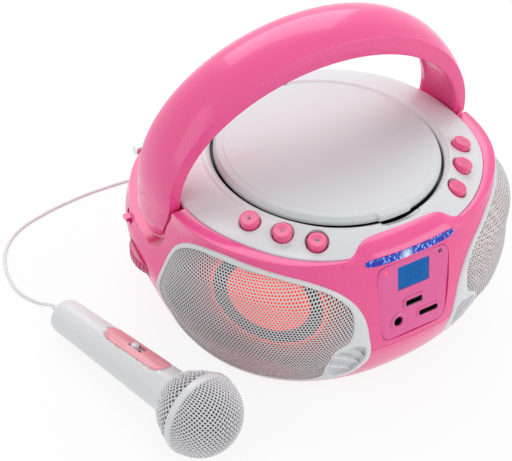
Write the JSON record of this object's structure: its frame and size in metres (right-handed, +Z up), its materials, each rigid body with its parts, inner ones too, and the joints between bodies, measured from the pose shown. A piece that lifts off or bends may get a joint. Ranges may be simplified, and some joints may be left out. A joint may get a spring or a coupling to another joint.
{
  "type": "portable karaoke disc player",
  "caption": "Rounded portable disc player with a folding carry handle, perforated speakers, a lidded disc well, a front control panel and a wired microphone on its cord.",
  "frame": {"origin": "on the floor under the middle of the four feet's plane, on the case's plane of symmetry, below the handle's foot", "axes": "+Z up, front of the case towards -Y, +X to the right seen from the front"},
  "size_m": [0.316, 0.3062, 0.1971],
  "materials": {
    "pink_shell": "gloss",
    "magenta_plastic": "gloss",
    "pink_buttons": "gloss",
    "white_plastic": "gloss",
    "white_grille": "satin",
    "silver_lid": "satin",
    "black_plastic": "matte",
    "red_cone": "matte",
    "steel": "satin",
    "chrome": "polished",
    "display": "gloss",
    "lit_lens": "gloss",
    "dark_lens": "gloss",
    "rubber": "matte",
    "white_cord": "satin",
    "green_board": "satin",
    "salmon_plastic": "gloss",
    "mesh": "satin",
    "foam": "matte"
  },
  "bodies": {
    "case": {"lower_case": "pink_shell", "upper_case": "pink_shell", "top_deck": "white_plastic", "control_panel": "magenta_plastic", "display_window": "display", "power_lamp": "lit_lens", "remote_sensor": "dark_lens", "usb_socket": "steel", "card_socket": "black_plastic", "headphone_jack": "magenta_plastic", "light_bar": "lit_lens", "speaker_frame_left": "white_plastic", "speaker_frame_right": "white_plastic", "speaker_grille_left": "white_grille", "speaker_grille_right": "white_grille", "speaker_baffle_left": "black_plastic", "speaker_baffle_right": "black_plastic", "speaker_cone_left": "red_cone", "speaker_cone_right": "red_cone", "disc_well": "black_plastic", "spindle_motor": "steel", "sled_rails": "steel", "lid_pin": "steel", "antenna_foot": "black_plastic", "mic_jack": "black_plastic", "mains_inlet": "black_plastic", "feet": "rubber", "case_screws": "steel", "main_board": "green_board", "mic_handle": "white_plastic", "mic_plate": "salmon_plastic", "mic_mesh_front": "mesh", "mic_mesh_rear": "mesh", "mic_ring": "white_plastic", "mic_foam": "foam", "mic_relief": "white_plastic", "mic_cord": "white_cord", "mic_cord_coil": "white_cord", "mic_cord_end": "white_cord", "cord_tie": "white_cord", "mic_plug": "black_plastic"},
    "lid": {"disc_lid": "silver_lid"},
    "clamp": {"disc_clamp": "black_plastic"},
    "carry_handle": {"handle": "pink_shell", "handle_pins": "magenta_plastic"},
    "stop_key": {"stop_button": "pink_buttons"},
    "mode_key": {"mode_button": "pink_buttons"},
    "folder_key": {"folder_button": "pink_buttons"},
    "play_key": {"play_button": "pink_buttons"},
    "skip_back_key": {"skip_back_button": "pink_buttons"},
    "skip_next_key": {"skip_next_button": "pink_buttons"},
    "volume": {"volume_wheel": "magenta_plastic"},
    "source": {"source_switch": "pink_shell"},
    "turntable": {"spindle": "steel"},
    "sled": {"pickup_sled": "black_plastic"},
    "antenna_outer": {"antenna_tube": "chrome"},
    "antenna_inner": {"antenna_middle": "chrome"},
    "antenna_end": {"antenna_tip": "chrome"},
    "battery_hatch": {"battery_door": "pink_shell"},
    "mic_slide": {"mic_switch": "white_plastic"}
  },
  "joints": [
    {"name": "lid_hinge", "type": "hinge", "parent": "case", "child": "lid", "pos_m": [0, 0.0705, 0.1075], "axis": [-1, 0, 0], "range_deg": [0, 25]},
    {"name": "clamp_spin", "type": "hinge", "parent": "lid", "child": "clamp", "pos_m": [0, -0.0085, 0.1098], "axis": [0, 0, 1], "continuous": true},
    {"name": "handle_pivot", "type": "hinge", "parent": "case", "child": "carry_handle", "pos_m": [0, 0.015, 0.086], "axis": [-1, 0, 0], "range_deg": [0, 90]},
    {"name": "stop_press", "type": "slide", "parent": "case", "child": "stop_key", "axis": [0.2497, 0.1168, -0.9613], "range_m": [0, 0.0015], "stiffness_N_per_m": 400},
    {"name": "mode_press", "type": "slide", "parent": "case", "child": "mode_key", "axis": [0.202, 0.1619, -0.9659], "range_m": [0, 0.0015], "stiffness_N_per_m": 400},
    {"name": "folder_press", "type": "slide", "parent": "case", "child": "folder_key", "axis": [0.1474, 0.1918, -0.9703], "range_m": [0, 0.0015], "stiffness_N_per_m": 400},
    {"name": "play_press", "type": "slide", "parent": "case", "child": "play_key", "axis": [-0.2497, 0.1168, -0.9613], "range_m": [0, 0.0015], "stiffness_N_per_m": 400},
    {"name": "skip_back_press", "type": "slide", "parent": "case", "child": "skip_back_key", "axis": [-0.202, 0.1619, -0.9659], "range_m": [0, 0.0015], "stiffness_N_per_m": 400},
    {"name": "skip_next_press", "type": "slide", "parent": "case", "child": "skip_next_key", "axis": [-0.1474, 0.1918, -0.9703], "range_m": [0, 0.0015], "stiffness_N_per_m": 400},
    {"name": "volume_turn", "type": "hinge", "parent": "case", "child": "volume", "pos_m": [-0.0975, 0.02, 0.0455], "axis": [0, 0, 1], "range_deg": [-140, 140]},
    {"name": "source_slide", "type": "slide", "parent": "case", "child": "source", "axis": [0, 1, 0], "range_m": [-0.003, 0.003]},
    {"name": "turntable_spin", "type": "hinge", "parent": "case", "child": "turntable", "pos_m": [0, -0.0085, 0.1], "axis": [0, 0, 1], "continuous": true},
    {"name": "sled_slide", "type": "slide", "parent": "case", "child": "sled", "axis": [0, -1, 0], "range_m": [0, 0.029]},
    {"name": "antenna_tilt", "type": "hinge", "parent": "case", "child": "antenna_outer", "pos_m": [0.062, 0.106, 0.0622], "axis": [0, -1, 0], "range_deg": [-110, 0]},
    {"name": "antenna_slide_inner", "type": "slide", "parent": "antenna_outer", "child": "antenna_inner", "axis": [-1, 0, 0], "range_m": [0, 0.106]},
    {"name": "antenna_slide_end", "type": "slide", "parent": "antenna_inner", "child": "antenna_end", "axis": [-1, 0, 0], "range_m": [0, 0.098]},
    {"name": "battery_hatch_hinge", "type": "hinge", "parent": "case", "child": "battery_hatch", "pos_m": [0, 0.0147, 0.0039], "axis": [-1, 0, 0], "range_deg": [0, 95]},
    {"name": "mic_switch_slide", "type": "slide", "parent": "case", "child": "mic_slide", "axis": [0.2475, -0.9631, 0.1061], "range_m": [0, 0.005]}
  ]
}
